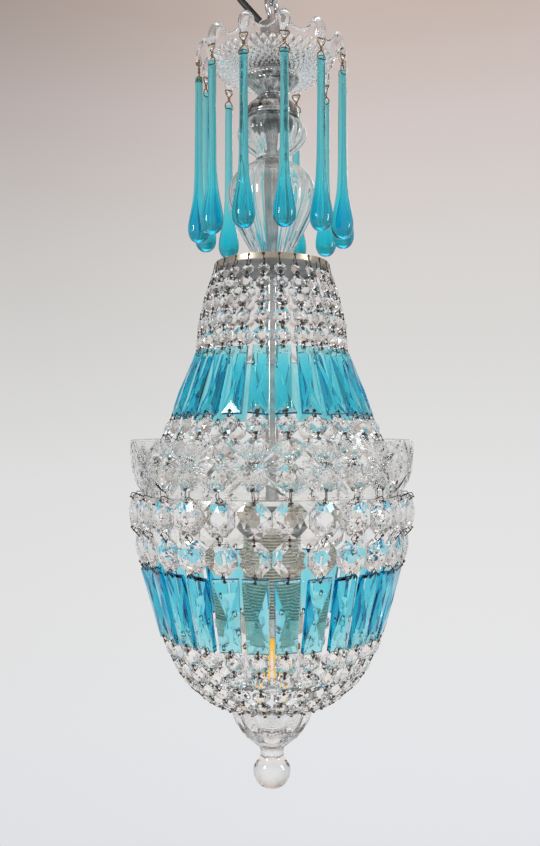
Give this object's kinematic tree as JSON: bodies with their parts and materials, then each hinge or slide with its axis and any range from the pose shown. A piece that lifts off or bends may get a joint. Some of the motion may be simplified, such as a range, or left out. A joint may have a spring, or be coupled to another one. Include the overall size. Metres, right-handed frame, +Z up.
{
  "type": "crystal pendant chandelier",
  "caption": "Glass crown pendant light with swinging blue teardrop icicles, a beaded crystal tent, a cut-glass collar and a beaded basket ending in a ball finial.",
  "frame": {"origin": "centre of the ceiling plane, on the top face of the ceiling strap", "axes": "+Z up along the stem; +X along the ceiling strap between its two screws; +Y from the front of the light towards its back"},
  "size_m": [0.2118, 0.2118, 0.6682],
  "materials": {
    "chrome": "polished chrome plate",
    "zinc_steel": "zinc-plated steel",
    "grey_metal": "dull grey sheet metal",
    "lampholder_grey": "satin grey ribbed lampholder",
    "flex_black": "black PVC sheath",
    "white_plastic": "translucent white nylon",
    "crown_glass": "clear pressed and cut glass",
    "crystal_clear": "clear cut crystal",
    "crystal_blue": "aqua blue glass",
    "aged_brass": "darkened brass wire and strip",
    "bulb_clear": "clear thin bulb glass",
    "filament": "yellow phosphor filament sticks"
  },
  "bodies": {
    "ceiling": {"ceiling_rose": "chrome", "rose_strap": "zinc_steel", "ceiling_hook": "chrome", "hook_nuts": "chrome"},
    "link": {"chain_link": "chrome"},
    "pendant": {"hanging_loop": "chrome", "flex_gland": "white_plastic", "flex": "flex_black", "terminal_block": "white_plastic", "lamp_flex": "flex_black", "stem_tube": "zinc_steel", "stem_nuts": "zinc_steel", "bobeche": "crown_glass", "icicle_hooks": "aged_brass", "support_cup": "chrome", "ball_cap": "chrome", "glass_ball": "crown_glass", "glass_vase": "crown_glass", "crown_plate": "grey_metal", "crown_rim": "aged_brass", "tent_octagons_upper": "crystal_clear", "tent_octagons_lower": "crystal_clear", "tent_prisms": "crystal_blue", "skirt_octagons_15": "crystal_clear", "skirt_octagons_17": "crystal_clear", "skirt_octagons_18": "crystal_clear", "tent_pins": "aged_brass", "cut_glass_collar": "crown_glass", "main_hoop": "aged_brass", "spider": "grey_metal", "basket_octagons_upper": "crystal_clear", "basket_octagons_lower": "crystal_clear", "basket_prisms": "crystal_blue", "cup_octagons_upper": "crystal_clear", "cup_octagons_middle": "crystal_clear", "cup_octagons_lower": "crystal_clear", "basket_pins": "aged_brass", "bottom_ring": "aged_brass", "finial_dish": "crown_glass", "finial_ball": "crown_glass", "lampholder_cap": "lampholder_grey", "lampholder_shell": "lampholder_grey", "shade_ring": "lampholder_grey", "bulb_cap": "zinc_steel", "bulb_glass": "bulb_clear", "bulb_filaments": "filament"},
    "icicle_01": {"icicle_01": "crystal_blue"},
    "icicle_02": {"icicle_02": "crystal_blue"},
    "icicle_03": {"icicle_03": "crystal_blue"},
    "icicle_04": {"icicle_04": "crystal_blue"},
    "icicle_05": {"icicle_05": "crystal_blue"},
    "icicle_06": {"icicle_06": "crystal_blue"},
    "icicle_07": {"icicle_07": "crystal_blue"},
    "icicle_08": {"icicle_08": "crystal_blue"},
    "icicle_09": {"icicle_09": "crystal_blue"},
    "icicle_10": {"icicle_10": "crystal_blue"},
    "icicle_11": {"icicle_11": "crystal_blue"},
    "icicle_12": {"icicle_12": "crystal_blue"}
  },
  "joints": [
    {"name": "link_swing", "type": "hinge", "parent": "ceiling", "child": "link", "pos_m": [0, 0, -0.0617], "axis": [-0.866, 0.5, 0], "range_deg": [-8, 8]},
    {"name": "pendant_swing", "type": "hinge", "parent": "link", "child": "pendant", "pos_m": [0, 0, -0.077], "axis": [0.5, 0.866, 0], "range_deg": [-8, 8]},
    {"name": "icicle_01_swing", "type": "hinge", "parent": "pendant", "child": "icicle_01", "pos_m": [0.00856, -0.05408, -0.1425], "axis": [-0.9877, -0.1564, 0], "range_deg": [-6, 22]},
    {"name": "icicle_02_swing", "type": "hinge", "parent": "pendant", "child": "icicle_02", "pos_m": [0.03445, -0.04255, -0.1425], "axis": [-0.7771, -0.6293, 0], "range_deg": [-6, 22]},
    {"name": "icicle_03_swing", "type": "hinge", "parent": "pendant", "child": "icicle_03", "pos_m": [0.05111, -0.01962, -0.1425], "axis": [-0.3584, -0.9336, 0], "range_deg": [-6, 22]},
    {"name": "icicle_04_swing", "type": "hinge", "parent": "pendant", "child": "icicle_04", "pos_m": [0.05408, 0.00856, -0.1425], "axis": [0.1564, -0.9877, 0], "range_deg": [-6, 22]},
    {"name": "icicle_05_swing", "type": "hinge", "parent": "pendant", "child": "icicle_05", "pos_m": [0.04255, 0.03445, -0.1425], "axis": [0.6293, -0.7771, 0], "range_deg": [-6, 22]},
    {"name": "icicle_06_swing", "type": "hinge", "parent": "pendant", "child": "icicle_06", "pos_m": [0.01962, 0.05111, -0.1425], "axis": [0.9336, -0.3584, 0], "range_deg": [-6, 22]},
    {"name": "icicle_07_swing", "type": "hinge", "parent": "pendant", "child": "icicle_07", "pos_m": [-0.00856, 0.05408, -0.1425], "axis": [0.9877, 0.1564, 0], "range_deg": [-6, 22]},
    {"name": "icicle_08_swing", "type": "hinge", "parent": "pendant", "child": "icicle_08", "pos_m": [-0.03445, 0.04255, -0.1425], "axis": [0.7771, 0.6293, 0], "range_deg": [-6, 22]},
    {"name": "icicle_09_swing", "type": "hinge", "parent": "pendant", "child": "icicle_09", "pos_m": [-0.05111, 0.01962, -0.1425], "axis": [0.3584, 0.9336, 0], "range_deg": [-6, 22]},
    {"name": "icicle_10_swing", "type": "hinge", "parent": "pendant", "child": "icicle_10", "pos_m": [-0.05408, -0.00856, -0.1425], "axis": [-0.1564, 0.9877, 0], "range_deg": [-6, 22]},
    {"name": "icicle_11_swing", "type": "hinge", "parent": "pendant", "child": "icicle_11", "pos_m": [-0.04255, -0.03445, -0.1425], "axis": [-0.6293, 0.7771, 0], "range_deg": [-6, 22]},
    {"name": "icicle_12_swing", "type": "hinge", "parent": "pendant", "child": "icicle_12", "pos_m": [-0.01962, -0.05111, -0.1425], "axis": [-0.9336, 0.3584, 0], "range_deg": [-6, 22]}
  ]
}
